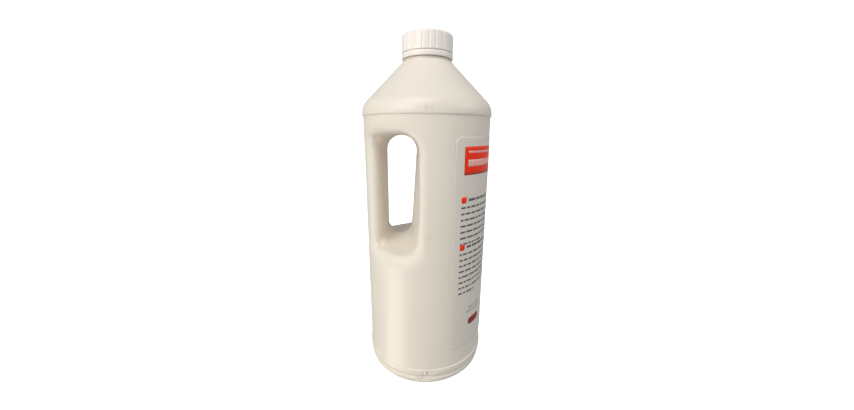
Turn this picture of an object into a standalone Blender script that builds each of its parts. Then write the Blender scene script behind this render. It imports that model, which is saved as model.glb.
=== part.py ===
"""A one litre round plastic bottle with a handle hole moulded through its body, and a ribbed screw cap.

The bottle stands on z = 0 with its axis on Z. The grip is at -X, the hole for the fingers runs
through along Y, and the label is wrapped round the +X side. All sizes are in metres.
"""

import math

import bmesh
import bpy
from mathutils import Vector

MM = 0.001

# Clearance
GAP = 0.3 * MM  # between pieces that rest on each other or pass each other

# Bottle body
PANEL_RADIUS = 44.4 * MM
PANEL_FOOT = 13.65 * MM  # upper edge of the base bumper
PANEL_HEIGHT = 173.6 * MM  # from there to the crease under the shoulder bumper
WALL = 1.2 * MM
BUMPER_RISE = 0.7 * MM  # how far the two bumper rings stand proud of the label panel
BUMPER_HOLLOW = 0.35 * MM  # how far the hollow follows the shoulder bumper
BUMPER_EDGE = 0.6 * MM  # height of the slope on the base bumper's upper edge
CREASE_RISE = 0.4 * MM  # height of the slope under the shoulder bumper
CREASE_ROUND = 0.7 * MM
SHOULDER_SIDE = 1.27 * MM  # from the crease to where the shoulder's rounding starts
SHOULDER_ROUND = 12.75 * MM
CONE_SLOPE = math.radians(45.6)

# Base
FOOT_INSET = 1.9 * MM  # of the foot's edge, from the panel's radius
FOOT_WIDTH = 4.6 * MM  # the ring that the bottle stands on, with its rounding
FOOT_BAND_INSET = 0.2 * MM  # of the band between the foot and the groove
HEEL_ROUND = 1.65 * MM
GROOVE_HEIGHT = 7.6 * MM
GROOVE_DEPTH = 0.9 * MM
GROOVE_WIDTH = 3.2 * MM
GROOVE_FLOOR = 0.6 * MM
PUSH_UP = 5.15 * MM  # rise of the underside at the centre
PUSH_UP_STEP = 2.6 * MM  # rise of the steep part inside the foot ring
PUSH_UP_RUN = 2.0 * MM  # width of that part
BASE_THICKNESS = 1.8 * MM
HEEL_WALL = 3.4 * MM
HEEL_WALL_TAPER = 3.0 * MM  # height over which the heel's wall thins to the panel's
CHANNEL_ROUND_SHARE = 0.9  # of the width that the hollow's floor has above the foot ring

# Neck
NECK_RADIUS = 13.95 * MM
NECK_WALL = 1.85 * MM
NECK_HEIGHT = 12.3 * MM  # from the collar's top to the mouth
MOUTH_ROUND = 0.5 * MM
BEAD_RISE = 1.15 * MM  # ring on the neck that holds the tamper band down
BEAD_HEIGHT = 1.25 * MM
COLLAR_RISE = 1.95 * MM  # beyond the neck's radius
COLLAR_HEIGHT = 2.35 * MM  # above the cone's edge
COLLAR_FILLET = 1.0 * MM
LEDGE_WIDTH = 1.85 * MM  # between the collar and the cone's edge
LEDGE_RISE = 0.8 * MM

# Screw thread: a ridge round the neck, and one in the cap that bears on it from below
THREAD_PITCH = 4.0 * MM
THREAD_RISE = 1.0 * MM  # beyond the neck's radius
THREAD_FOOT_WIDTH = 1.6 * MM
THREAD_CREST_WIDTH = 0.8 * MM
THREAD_SINK = 0.3 * MM  # how far a ridge's foot lies in the wall it stands on
THREAD_FADE = math.radians(30.0)  # over which a ridge rises at its ends

# Hand hole at the parting plane
GRIP_THICKNESS = 15.25 * MM  # from the body's side to the face that the fingers close on
HOLE_DROP = 12.1 * MM  # from the panel's top to the hole's roof
HOLE_HEIGHT = 74.75 * MM
HOLE_ROOF_WIDTH = 21.45 * MM  # from the grip's face
HOLE_FLOOR_WIDTH = 16.7 * MM
HOLE_ROOF_ROUND = 10.7 * MM
HOLE_FLOOR_ROUND = 8.3 * MM
BEHIND_GRIP = 11.3 * MM  # how far the recess goes on past the grip's face

# Recess at the body's surface: how much further it reaches than the hole
FLARE_ROOF = 1.35 * MM
FLARE_FLOOR = 3.35 * MM
FLARE_SIDE_ROOF = 3.6 * MM
FLARE_SIDE_FLOOR = 7.1 * MM
GRIP_SIDE_LEAN = 1.65 * MM  # how much less far it goes past the grip's face at its floor
EDGE_ROUND_SIDE = 12.4 * MM  # corners of the outline
EDGE_ROUND_GRIP = 11.65 * MM
RIM_ROUND_SIDE = 6.15 * MM  # rounding where the recess meets the body
RIM_ROUND_ROOF = 6.55 * MM
RIM_ROUND_FLOOR = 8.75 * MM

# Grip, a bar left standing in the recess, with its outer corners turned back from the body's surface
GRIP_NOSE = 1.85 * MM  # rounding of the edge of the face that the fingers close on
GRIP_ROUND = 11.3 * MM
GRIP_AZIMUTH = math.radians(72.0)  # where the corner's arc reaches the body, from the front
GRIP_STAND_OUT = 0.3 * MM  # keeps that arc from only grazing the body
ROOT_SINK = 0.4 * MM  # how far beyond the hole's floor and roof the grip's roots start
ROOT_HOLE_FLOOR = 8.3 * MM  # rounding of the roots, in the hole and on the grip's front
ROOT_HOLE_ROOF = 10.7 * MM
ROOT_FACE_FLOOR = 4.6 * MM
ROOT_FACE_ROOF = 6.65 * MM
ROOT_BURIED = 14.0 * MM  # how far the bar goes on into the body

# Notch in the base that a labelling machine turns the bottle by, with a bend in its left edge
NOTCH_FOOT = 3.6 * MM
NOTCH_HEIGHT = 9.15 * MM
NOTCH_BEND = 6.0 * MM  # above the notch's foot
NOTCH_LEFT_FOOT = -5.15 * MM
NOTCH_LEFT_BEND = 0.2 * MM
NOTCH_LEFT_TOP = 0.9 * MM
NOTCH_RIGHT = 6.65 * MM
NOTCH_DEPTH = 2.5 * MM
NOTCH_RUN_OUT = 0.5 * MM  # how far in front of the body its floor ends

# Cap
CAP_WALL = 1.85 * MM
CAP_ROOF = 1.5 * MM
CAP_EDGE_ROUND = 1.65 * MM
RIB_COUNT = 24
RIB_DEPTH = 0.45 * MM
RIB_GROOVE_WIDTH = 1.2 * MM
RIB_GROOVE_FLOOR = 0.5 * MM
LINER_THICKNESS = 1.0 * MM

# Tamper band
BAND_HEIGHT = 3.2 * MM
BAND_RISE = 0.12 * MM  # beyond the cap's radius
BAND_WALL = 1.3 * MM
BAND_CHAMFER = 0.2 * MM
LIP_HEIGHT = 0.9 * MM
LIP_CATCH = 0.4 * MM  # how far the lip reaches in under the neck's bead
LIP_SLOPE = 0.9 * MM  # height of the slope from the lip to the band's wall

# Label
LABEL_WIDTH = 104.5 * MM
LABEL_FOOT_MARGIN = 12.65 * MM  # from the panel's edges
LABEL_TOP_MARGIN = 12.75 * MM
LABEL_CORNER = 4.6 * MM
LABEL_THICKNESS = 0.2 * MM

# Heights and radii that follow from these
PANEL_TOP = PANEL_FOOT + PANEL_HEIGHT
BUMPER_RADIUS = PANEL_RADIUS + BUMPER_RISE
FOOT_RADIUS = PANEL_RADIUS - FOOT_INSET
BORE_RADIUS = NECK_RADIUS - NECK_WALL
BEAD_RADIUS = NECK_RADIUS + BEAD_RISE
COLLAR_RADIUS = NECK_RADIUS + COLLAR_RISE
CONE_RADIUS = COLLAR_RADIUS + LEDGE_WIDTH
SHOULDER_CORNER = PANEL_TOP + SHOULDER_SIDE + SHOULDER_ROUND * math.tan((math.pi / 2 - CONE_SLOPE) / 2)
CONE_TOP = SHOULDER_CORNER + (BUMPER_RADIUS - CONE_RADIUS) * math.tan(CONE_SLOPE)
COLLAR_TOP = CONE_TOP + COLLAR_HEIGHT
BAND_FOOT = COLLAR_TOP + GAP
BEAD_FOOT = BAND_FOOT + LIP_HEIGHT + GAP
NECK_TOP = COLLAR_TOP + NECK_HEIGHT
LINER_FOOT = NECK_TOP + GAP
CAP_FOOT = BAND_FOOT + BAND_HEIGHT + GAP
CAP_TOP = LINER_FOOT + LINER_THICKNESS + GAP + CAP_ROOF
CAP_BORE_RADIUS = BEAD_RADIUS + GAP
CAP_RADIUS = CAP_BORE_RADIUS + CAP_WALL
THREAD_SEAT = 0.5 * (THREAD_FOOT_WIDTH + THREAD_CREST_WIDTH) + GAP
NECK_THREAD_FOOT = BEAD_FOOT + BEAD_HEIGHT + BEAD_RISE + GAP + 0.5 * THREAD_FOOT_WIDTH
NECK_THREAD_TOP = NECK_TOP - MOUTH_ROUND - 0.5 * THREAD_FOOT_WIDTH
CAP_THREAD_FOOT = CAP_FOOT + GAP + 0.5 * THREAD_FOOT_WIDTH
CAP_THREAD_TOP = NECK_THREAD_TOP - THREAD_SEAT
GRIP_FACE = GRIP_THICKNESS - PANEL_RADIUS
HOLE_ROOF = PANEL_TOP - HOLE_DROP
HOLE_FLOOR = HOLE_ROOF - HOLE_HEIGHT

# Facets
SIDES = 64
PROFILE_STEP = 1.65 * MM  # about the longest facet on a profile's rounding
DOME_STEPS = 3
CORNER_STEPS = 6
SIDE_STEPS = 4
RIM_TURNS = (0.0, 20.0, 40.0, 58.0, 72.0)  # degrees round the recess's rim
GRIP_STEPS = 7
NOSE_STEPS = 3
ROOT_TURNS = (0.0, 15.0, 26.0, 37.0, 50.0, 64.0, 77.0, 90.0)  # degrees round a root
ROOT_FOLLOW = 3  # turns over which a root keeps to the recess's rim
FALL_LIMIT = 0.95  # of a rim's rounding that the grip's roots follow
THIN_ROOT = 0.05  # share of a root's rounding that is left at the body's surface
DEPTH_LIMIT = 0.98  # of the radius, beyond which the body's depth is taken as level
CAP_EDGE_TURNS = (0.0, 35.0, 65.0, 90.0)
LABEL_STEPS = 30
LABEL_CORNER_TURNS = (25.0, 50.0, 70.0, 90.0)
CUT_CLEAR = 2.0 * MM  # how far cutters stand out of what they cut
BEYOND = 1.2  # of the body's radius, where a shape that crosses the body ends


def clear_scene():
    for obj in list(bpy.data.objects):
        bpy.data.objects.remove(obj)


def material(name, colour, roughness):
    """A plain plastic of this colour."""
    made = bpy.data.materials.new(name)
    made.use_nodes = True
    shader = made.node_tree.nodes["Principled BSDF"]
    shader.inputs["Base Color"].default_value = (*colour, 1.0)
    shader.inputs["Roughness"].default_value = roughness
    shader.inputs["Metallic"].default_value = 0.0
    return made


def object_of(name, mesh, finish=None):
    obj = bpy.data.objects.new(name, mesh)
    bpy.context.scene.collection.objects.link(obj)
    if finish:
        mesh.materials.append(finish)
    return obj


def as_tool(obj):
    """Hides a shape that is only cut from another or joined to it."""
    obj.hide_render = True
    obj.display_type = "WIRE"
    return obj


def combine(obj, other, operation):
    step = obj.modifiers.new(other.name, "BOOLEAN")
    step.operation = operation
    step.solver = "EXACT"
    step.object = other


def cut(obj, cutter):
    """Takes the cutter's shape out of the object."""
    combine(obj, cutter, "DIFFERENCE")


def join(obj, other):
    """Adds the other's shape to the object."""
    combine(obj, other, "UNION")


def rounded_profile(corners):
    """Points (r, z) along (r, z, rounding) corners, with an arc at each corner that has a rounding."""
    points = []
    for i, (r, z, rounding) in enumerate(corners):
        corner = Vector((r, z))
        if not rounding:
            points.append(corner)
            continue
        before = (Vector(corners[i - 1][:2]) - corner).normalized()
        after = (Vector(corners[i + 1][:2]) - corner).normalized()
        half = 0.5 * before.angle(after)
        centre = corner + (before + after).normalized() * rounding / math.sin(half)
        start = corner + before * rounding / math.tan(half) - centre
        end = corner + after * rounding / math.tan(half) - centre
        steps = max(1, math.ceil((math.pi - 2.0 * half) * rounding / PROFILE_STEP))
        points += [centre + rounding * start.slerp(end, step / steps) for step in range(steps + 1)]
    return points


def dome(radius, foot, top):
    """Corners of a shallow dome, from its edge to the point before its middle."""
    shares = [1.0 - step / DOME_STEPS for step in range(DOME_STEPS)]
    return [(radius * share, top - (top - foot) * share**2, 0.0) for share in shares]


def turned(name, profile, finish=None, start=0.0, closed=False):
    """The solid that a profile of (r, z) sweeps round Z. It runs down its outer side, from its top."""
    mesh = bpy.data.meshes.new(name)
    count = len(profile)
    edges = [(i, (i + 1) % count) for i in range(count if closed else count - 1)]
    mesh.from_pydata([(r * math.cos(start), r * math.sin(start), z) for r, z in profile], edges, [])
    obj = object_of(name, mesh, finish)
    screw = obj.modifiers.new("turn", "SCREW")
    screw.axis = "Z"
    screw.angle = math.tau
    screw.steps = SIDES
    screw.render_steps = SIDES
    screw.use_merge_vertices = True
    screw.merge_threshold = 0.00001
    screw.use_smooth_shade = True
    return obj


def lofted(name, rings, finish=None):
    """The closed solid through rings of as many points each, with its first and last ring filled."""
    shape = bmesh.new()
    loops = [[shape.verts.new(point) for point in ring] for ring in rings]
    count = len(loops[0])
    for lower, upper in zip(loops, loops[1:]):
        for i in range(count):
            j = (i + 1) % count
            shape.faces.new((lower[i], lower[j], upper[j], upper[i]))
    shape.faces.new(loops[0])
    shape.faces.new(loops[-1])
    bmesh.ops.recalc_face_normals(shape, faces=shape.faces)
    mesh = bpy.data.meshes.new(name)
    shape.to_mesh(mesh)
    shape.free()
    mesh.shade_smooth()
    mesh.set_sharp_from_angle(angle=math.radians(35))
    return object_of(name, mesh, finish)


def outer_profile():
    """Outside of the bottle from the middle of its mouth, down its side, to the middle of its foot."""
    bead_top = BEAD_FOOT + BEAD_HEIGHT
    groove = PANEL_RADIUS - GROOVE_DEPTH
    ring_inside = FOOT_RADIUS - FOOT_WIDTH
    return rounded_profile(
        [
            (0.0, NECK_TOP, 0.0),
            (NECK_RADIUS, NECK_TOP, MOUTH_ROUND),
            (NECK_RADIUS, bead_top + BEAD_RISE, 0.0),
            (BEAD_RADIUS, bead_top, 0.0),
            (BEAD_RADIUS, BEAD_FOOT, 0.0),
            (NECK_RADIUS, BEAD_FOOT, 0.0),
            (NECK_RADIUS, COLLAR_TOP, 0.0),
            (COLLAR_RADIUS, COLLAR_TOP, 0.0),
            (COLLAR_RADIUS, CONE_TOP + LEDGE_RISE, COLLAR_FILLET),
            (CONE_RADIUS, CONE_TOP, 0.0),
            (BUMPER_RADIUS, SHOULDER_CORNER, SHOULDER_ROUND),
            (BUMPER_RADIUS, PANEL_TOP + CREASE_RISE, CREASE_ROUND),
            (PANEL_RADIUS, PANEL_TOP, 0.0),
            (PANEL_RADIUS, PANEL_FOOT, 0.0),
            (BUMPER_RADIUS, PANEL_FOOT - BUMPER_EDGE, 0.0),
            (BUMPER_RADIUS, GROOVE_HEIGHT + 0.5 * GROOVE_WIDTH, 0.0),
            (groove, GROOVE_HEIGHT + 0.5 * GROOVE_FLOOR, 0.0),
            (groove, GROOVE_HEIGHT - 0.5 * GROOVE_FLOOR, 0.0),
            (PANEL_RADIUS - FOOT_BAND_INSET, GROOVE_HEIGHT - 0.5 * GROOVE_WIDTH, 0.0),
            (FOOT_RADIUS, 0.0, HEEL_ROUND),
            (ring_inside, 0.0, 0.0),
            *dome(ring_inside - PUSH_UP_RUN, PUSH_UP_STEP, PUSH_UP),
            (0.0, PUSH_UP, 0.0),
        ]
    )


def inner_profile():
    """Hollow of the bottle, from above its mouth to the middle of its floor."""
    side = PANEL_RADIUS - WALL
    bumper = side + BUMPER_HOLLOW
    drop = WALL / math.cos(CONE_SLOPE)
    corner = CONE_TOP - drop - (bumper - CONE_RADIUS) * math.tan(CONE_SLOPE)
    heel = PANEL_RADIUS - HEEL_WALL
    ring_inside = FOOT_RADIUS - FOOT_WIDTH
    return rounded_profile(
        [
            (0.0, NECK_TOP + CUT_CLEAR, 0.0),
            (BORE_RADIUS, NECK_TOP + CUT_CLEAR, 0.0),
            (BORE_RADIUS, CONE_TOP, 0.0),
            (CONE_RADIUS, CONE_TOP - drop, 0.0),
            (bumper, corner, SHOULDER_ROUND),
            (bumper, PANEL_TOP, 0.0),
            (side, PANEL_TOP - WALL, 0.0),
            (side, PANEL_FOOT + HEEL_WALL_TAPER, 0.0),
            (heel, PANEL_FOOT, 0.0),
            (heel, BASE_THICKNESS, CHANNEL_ROUND_SHARE * (heel - ring_inside)),
            (ring_inside, BASE_THICKNESS, 0.0),
            *dome(ring_inside - PUSH_UP_RUN, BASE_THICKNESS + PUSH_UP_STEP, BASE_THICKNESS + PUSH_UP),
            (0.0, BASE_THICKNESS + PUSH_UP, 0.0),
        ]
    )


def inside_corner(side, end, rounding, across, up):
    """The circle (x, z, radius) that fits a corner. across and up point from its middle to the corner."""
    return (side - across * rounding, end - up * rounding, rounding)


def recess_at_middle():
    """Corner circles at the parting plane, counterclockwise from the hole's side of the roof."""
    behind = GRIP_FACE - BEHIND_GRIP
    return (
        inside_corner(GRIP_FACE + HOLE_ROOF_WIDTH, HOLE_ROOF, HOLE_ROOF_ROUND, 1.0, 1.0),
        inside_corner(behind, HOLE_ROOF, HOLE_ROOF_ROUND, -1.0, 1.0),
        inside_corner(behind, HOLE_FLOOR, HOLE_FLOOR_ROUND, -1.0, -1.0),
        inside_corner(GRIP_FACE + HOLE_FLOOR_WIDTH, HOLE_FLOOR, HOLE_FLOOR_ROUND, 1.0, -1.0),
    )


def recess_at_surface():
    """Corner circles at the body's surface, in the same order."""
    behind = GRIP_FACE - BEHIND_GRIP
    roof, floor = HOLE_ROOF + FLARE_ROOF, HOLE_FLOOR - FLARE_FLOOR
    roof_side = GRIP_FACE + HOLE_ROOF_WIDTH + FLARE_SIDE_ROOF
    floor_side = GRIP_FACE + HOLE_FLOOR_WIDTH + FLARE_SIDE_FLOOR
    return (
        inside_corner(roof_side, roof, EDGE_ROUND_SIDE, 1.0, 1.0),
        inside_corner(behind, roof, EDGE_ROUND_GRIP, -1.0, 1.0),
        inside_corner(behind + GRIP_SIDE_LEAN, floor, EDGE_ROUND_GRIP, -1.0, -1.0),
        inside_corner(floor_side, floor, EDGE_ROUND_SIDE, 1.0, -1.0),
    )


def rounded_outline(corners, grow):
    """Points and outward normals (x, z) round four circles joined by tangents, counterclockwise."""
    sides = []
    for here, there in zip(corners, corners[1:] + corners[:1]):
        across, up = there[0] - here[0], there[1] - here[1]
        opening = math.acos((here[2] - there[2]) / math.hypot(across, up))
        sides.append(math.atan2(up, across) - opening)
    outline = []
    for i, (x, z, radius) in enumerate(corners):
        start, end = sides[i - 1], sides[i]
        sweep = (end - start) % math.tau
        for step in range(CORNER_STEPS + 1):
            a = start + sweep * step / CORNER_STEPS
            normal = (math.cos(a), math.sin(a))
            outline.append(((x + (radius + grow) * normal[0], z + (radius + grow) * normal[1]), normal))
        following = corners[(i + 1) % len(corners)]
        last = outline[-1][0]
        reach = following[2] + grow
        meets = (following[0] + reach * normal[0], following[1] + reach * normal[1])
        is_long = i % 2 == 1
        steps = SIDE_STEPS if is_long else 1
        for step in range(1, steps):
            share = step / steps
            point = tuple(p + (q - p) * share for p, q in zip(last, meets))
            outline.append((point, normal))
    return outline


def body_depth(x, radius=PANEL_RADIUS):
    """Distance of the body's surface from the parting plane, along Y."""
    return math.sqrt(radius**2 - min(abs(x), DEPTH_LIMIT * radius) ** 2)


def rim_round(normal):
    """Rounding of the recess's rim, which goes from one value to the next round the outline."""
    across, up = normal
    end = RIM_ROUND_ROOF if up > 0.0 else RIM_ROUND_FLOOR
    return RIM_ROUND_SIDE * across**2 + end * up**2


def recess_cutter(name, grow):
    """The recess through the body. grow widens it by the wall, for the hollow's side of that wall."""
    middle = rounded_outline(recess_at_middle(), grow)
    surface = rounded_outline(recess_at_surface(), 0.0)
    turns = [math.radians(a) for a in RIM_TURNS]
    half = [[(x, 0.0, z) for (x, z), _ in middle]]
    for turn in turns:
        ring = []
        for (x, z), normal in surface:
            rim = rim_round(normal)
            across = rim - (rim - grow) * math.cos(turn)
            depth = rim - (rim - grow) * math.sin(turn)
            x_out, z_out = x + normal[0] * across, z + normal[1] * across
            ring.append((x_out, body_depth(x_out) - depth, z_out))
        half.append(ring)
    last = turns[-1]
    clear = []
    for (x, z), normal in surface:
        rim = rim_round(normal)
        run = (rim - (rim - grow) * math.sin(last) + CUT_CLEAR) / math.cos(last)
        across = rim - (rim - grow) * math.cos(last) + run * math.sin(last)
        x_out, z_out = x + normal[0] * across, z + normal[1] * across
        clear.append((x_out, body_depth(x_out) + CUT_CLEAR, z_out))
    half.append(clear)
    half.append([(x, BEYOND * PANEL_RADIUS, z) for x, _, z in clear])
    back = list(reversed(half[1:]))
    front = [[(x, -y, z) for x, y, z in ring] for ring in half]
    return as_tool(lofted(name, back + front))


def grip_section(grow):
    """Points and outward normals (x, y) from the middle of the finger side round the front corner."""
    reach = PANEL_RADIUS - GRIP_ROUND + GRIP_STAND_OUT
    centre = (-reach * math.sin(GRIP_AZIMUTH), -reach * math.cos(GRIP_AZIMUTH))
    nose_x = GRIP_FACE - GRIP_NOSE
    nose_angle = math.asin((nose_x - centre[0]) / (GRIP_ROUND - GRIP_NOSE))
    nose_y = centre[1] - (GRIP_ROUND - GRIP_NOSE) * math.cos(nose_angle)
    section = [((GRIP_FACE - grow, 0.0), (1.0, 0.0)), ((GRIP_FACE - grow, 0.5 * nose_y), (1.0, 0.0))]
    for i in range(NOSE_STEPS + 1):
        a = math.pi / 2 + (nose_angle - math.pi / 2) * i / NOSE_STEPS
        normal = (math.sin(a), -math.cos(a))
        radius = GRIP_NOSE - grow
        section.append(((nose_x + radius * normal[0], nose_y + radius * normal[1]), normal))
    for i in range(1, GRIP_STEPS + 1):
        a = nose_angle - (GRIP_AZIMUTH + nose_angle) * i / GRIP_STEPS
        normal = (math.sin(a), -math.cos(a))
        radius = GRIP_ROUND - grow
        section.append(((centre[0] + radius * normal[0], centre[1] + radius * normal[1]), normal))
    return section


def root_spread(distance, radius):
    """How far a root of this radius stands out, at a distance from the floor it rises from."""
    if distance >= radius:
        return 0.0
    return radius - math.sqrt(radius**2 - (radius - max(0.0, distance)) ** 2)


def rim_fall(depth, rim, grow):
    """How far the recess's rim has rounded away from its floor at this depth under the body."""
    radius = rim - grow
    beyond = min(rim - depth, FALL_LIMIT * radius)
    return radius - math.sqrt(radius**2 - beyond**2) if beyond > 0.0 else 0.0


def grip_bar(name, grow):
    """The bar that stays, from under the recess to above it. grow makes it thinner by the wall."""
    section = grip_section(grow)
    outside = BEYOND * PANEL_RADIUS / math.cos(GRIP_AZIMUTH / 2)
    sink = ROOT_SINK + grow
    floor = (HOLE_FLOOR - sink, 1.0, ROOT_HOLE_FLOOR, ROOT_FACE_FLOOR, RIM_ROUND_FLOOR, FLARE_FLOOR)
    roof = (HOLE_ROOF + sink, -1.0, ROOT_HOLE_ROOF, ROOT_FACE_ROOF, RIM_ROUND_ROOF, FLARE_ROOF)
    stations = []
    for end in (floor, roof):
        tallest = end[2] + WALL
        levels = [tallest * (1.0 - math.cos(math.radians(turn))) for turn in ROOT_TURNS]
        follows = [min(1.0, (tallest - level) / (tallest - levels[ROOT_FOLLOW])) for level in levels]
        levels, follows = [-ROOT_BURIED, *levels], [1.0, *follows]
        column = [(*end, level, follow) for level, follow in zip(levels, follows)]
        stations += column if end is floor else column[::-1]
    rings = []
    for base, up, hole_root, face_root, rim, flare, distance, follow in stations:
        along = root_spread(distance, hole_root + grow)
        half = []
        for (x, y), normal in section:
            depth = max(0.0, body_depth(x) - abs(y))
            root = (face_root + grow) * min(1.0, depth / (2.0 * face_root) + THIN_ROOT)
            forward = root_spread(distance, root)
            x_out = x + (along if normal[0] > 0.0 else forward) * normal[0]
            y_out = y + forward * normal[1]
            surface = body_depth(x_out)
            fall = rim_fall(surface - abs(y_out), rim, grow)
            fall += flare * min(1.0, abs(y_out) / (surface - rim))
            half.append((x_out, y_out, base + up * (distance - fall * follow)))
        height = base + up * (distance - flare * follow)
        half.append((-outside * math.sin(GRIP_AZIMUTH), -outside * math.cos(GRIP_AZIMUTH), height))
        rings.append(half + [(x, -y, z) for x, y, z in reversed(half[1:])])
    return as_tool(lofted(name, rings))


def recess_beside_grip(name, grow):
    """What is taken from the body: the recess, less the grip that stands in it."""
    recess = recess_cutter(name, grow)
    cut(recess, grip_bar(name + "_grip", grow))
    return recess


def notch_cutter(name):
    """A wedge whose left face is steep and whose floor runs out to the right."""
    outside = BUMPER_RADIUS + CUT_CLEAR
    edge = (
        (NOTCH_FOOT, NOTCH_LEFT_FOOT),
        (NOTCH_FOOT + NOTCH_BEND, NOTCH_LEFT_BEND),
        (NOTCH_FOOT + NOTCH_HEIGHT, NOTCH_LEFT_TOP),
    )
    rings = []
    for height, left in edge:
        deepest = body_depth(left, BUMPER_RADIUS) - NOTCH_DEPTH
        shallowest = body_depth(NOTCH_RIGHT, BUMPER_RADIUS) + NOTCH_RUN_OUT
        floor = [(left, -deepest, height), (NOTCH_RIGHT, -shallowest, height)]
        rings.append([(left, -outside, height), *floor, (NOTCH_RIGHT, -outside, height)])
    return as_tool(lofted(name, rings))


def thread_ridge(name, foot, top, start, wall, crest):
    """A helical ridge on a round wall, from one height to another. start is its height at angle 0."""
    outward = math.copysign(1.0, crest - wall)
    sunk = wall - outward * THREAD_SINK
    steps = math.ceil((top - foot) / THREAD_PITCH * SIDES / 2)
    sweep = math.tau * (top - foot) / THREAD_PITCH
    rings = []
    for i in range(steps + 1):
        z = foot + (top - foot) * i / steps
        angle = math.tau * (z - start) / THREAD_PITCH
        rise = min(1.0, sweep * min(i, steps - i) / steps / THREAD_FADE)
        tip = 0.5 * (sunk + wall) * (1.0 - rise) + crest * rise
        foot_half, crest_half = 0.5 * THREAD_FOOT_WIDTH, 0.5 * THREAD_CREST_WIDTH
        lower = ((sunk, z - foot_half), (tip, z - crest_half))
        section = (*lower, (tip, z + crest_half), (sunk, z + foot_half))
        rings.append([(r * math.cos(angle), r * math.sin(angle), height) for r, height in section])
    return as_tool(lofted(name, rings))


def make_bottle():
    half_facet = math.pi / SIDES
    hollow = as_tool(turned("hollow", inner_profile(), start=half_facet))
    cut(hollow, recess_beside_grip("recess_inner", WALL))
    bottle = turned("bottle", outer_profile(), material("bottle_plastic", (0.84, 0.79, 0.71), 0.42))
    cut(bottle, recess_beside_grip("recess_outer", 0.0))
    cut(bottle, notch_cutter("notch"))
    ridge = (NECK_THREAD_FOOT, NECK_THREAD_TOP, NECK_THREAD_FOOT, NECK_RADIUS, NECK_RADIUS + THREAD_RISE)
    join(bottle, thread_ridge("neck_thread", *ridge))
    cut(bottle, hollow)


def ribbed_ring(radius, depth, height):
    """A ring of points whose radius steps in by depth at each groove between two ribs."""
    pitch = math.tau / RIB_COUNT
    edge = 0.5 * RIB_GROOVE_WIDTH / CAP_RADIUS
    floor = 0.5 * RIB_GROOVE_FLOOR / CAP_RADIUS
    ring = []
    for i in range(RIB_COUNT):
        for offset, inset in ((-edge, 0.0), (-floor, depth), (floor, depth), (edge, 0.0)):
            a = i * pitch + offset
            ring.append(((radius - inset) * math.cos(a), (radius - inset) * math.sin(a), height))
    return ring


def make_cap():
    """A ribbed cup, open below. Its object stands at its lower edge, on the axis it turns about."""
    height = CAP_TOP - CAP_FOOT
    centre_radius, centre_height = CAP_RADIUS - CAP_EDGE_ROUND, height - CAP_EDGE_ROUND
    rings = [ribbed_ring(CAP_BORE_RADIUS, 0.0, height - CAP_ROOF)]
    rings += [ribbed_ring(CAP_BORE_RADIUS, 0.0, 0.0), ribbed_ring(CAP_RADIUS, RIB_DEPTH, 0.0)]
    for turn in CAP_EDGE_TURNS:
        across, up = math.cos(math.radians(turn)), math.sin(math.radians(turn))
        radius = centre_radius + CAP_EDGE_ROUND * across
        rings.append(ribbed_ring(radius, RIB_DEPTH * across, centre_height + CAP_EDGE_ROUND * up))
    cap = lofted("cap", rings, material("cap_plastic", (0.88, 0.86, 0.82), 0.4))
    cap.location = (0.0, 0.0, CAP_FOOT)
    start = NECK_THREAD_FOOT - THREAD_SEAT
    ridge = (CAP_THREAD_FOOT, CAP_THREAD_TOP, start, CAP_BORE_RADIUS, NECK_RADIUS + GAP)
    join(cap, thread_ridge("cap_thread", *ridge))


def make_liner():
    radius = CAP_BORE_RADIUS - GAP
    profile = [(0.0, LINER_THICKNESS), (radius, LINER_THICKNESS), (radius, 0.0), (0.0, 0.0)]
    liner = turned("cap_liner", profile, material("liner_foam", (0.85, 0.85, 0.83), 0.7))
    liner.location = (0.0, 0.0, LINER_FOOT)


def make_tamper_band():
    """The ring that stays on the neck, with a lip that reaches under the neck's bead."""
    outer = CAP_RADIUS + BAND_RISE
    inner = outer - BAND_WALL
    lip = BEAD_RADIUS - LIP_CATCH
    lip_top = BAND_FOOT + LIP_HEIGHT
    top = BAND_FOOT + BAND_HEIGHT
    profile = [
        (inner, top),
        (outer - BAND_CHAMFER, top),
        (outer, top - BAND_CHAMFER),
        (outer, BAND_FOOT + BAND_CHAMFER),
        (outer - BAND_CHAMFER, BAND_FOOT),
        (lip, BAND_FOOT),
        (lip, lip_top),
        (BEAD_RADIUS + GAP, lip_top),
        (inner, lip_top + LIP_SLOPE),
    ]
    turned("tamper_band", profile, material("band_plastic", (0.88, 0.86, 0.82), 0.4), closed=True)


def make_label():
    """A film held just off the panel, with rounded corners."""
    inner = PANEL_RADIUS + GAP
    outer = inner + LABEL_THICKNESS
    straight = 0.5 * LABEL_WIDTH - LABEL_CORNER
    columns = [(straight * (2.0 * i / LABEL_STEPS - 1.0), 0.0) for i in range(LABEL_STEPS + 1)]
    for turn in LABEL_CORNER_TURNS:
        along = straight + LABEL_CORNER * math.sin(math.radians(turn))
        rise = LABEL_CORNER * (1.0 - math.cos(math.radians(turn)))
        columns = [(-along, rise), *columns, (along, rise)]
    rings = []
    for along, rise in columns:
        angle = along / inner
        foot = PANEL_FOOT + LABEL_FOOT_MARGIN + rise
        top = PANEL_TOP - LABEL_TOP_MARGIN - rise
        corners = ((inner, foot), (outer, foot), (outer, top), (inner, top))
        rings.append([(r * math.cos(angle), r * math.sin(angle), z) for r, z in corners])
    lofted("front_label", rings, material("label_film", (0.82, 0.8, 0.77), 0.25))


def main():
    clear_scene()
    make_bottle()
    make_tamper_band()
    make_cap()
    make_liner()
    make_label()


main()
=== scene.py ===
"""Looks for a one litre plastic bottle with a handle hole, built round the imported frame.

The bottle stands on z = 0 with its axis on Z, its grip at -X, and its label round +X. Metres throughout.
"""

import math
import random

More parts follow.
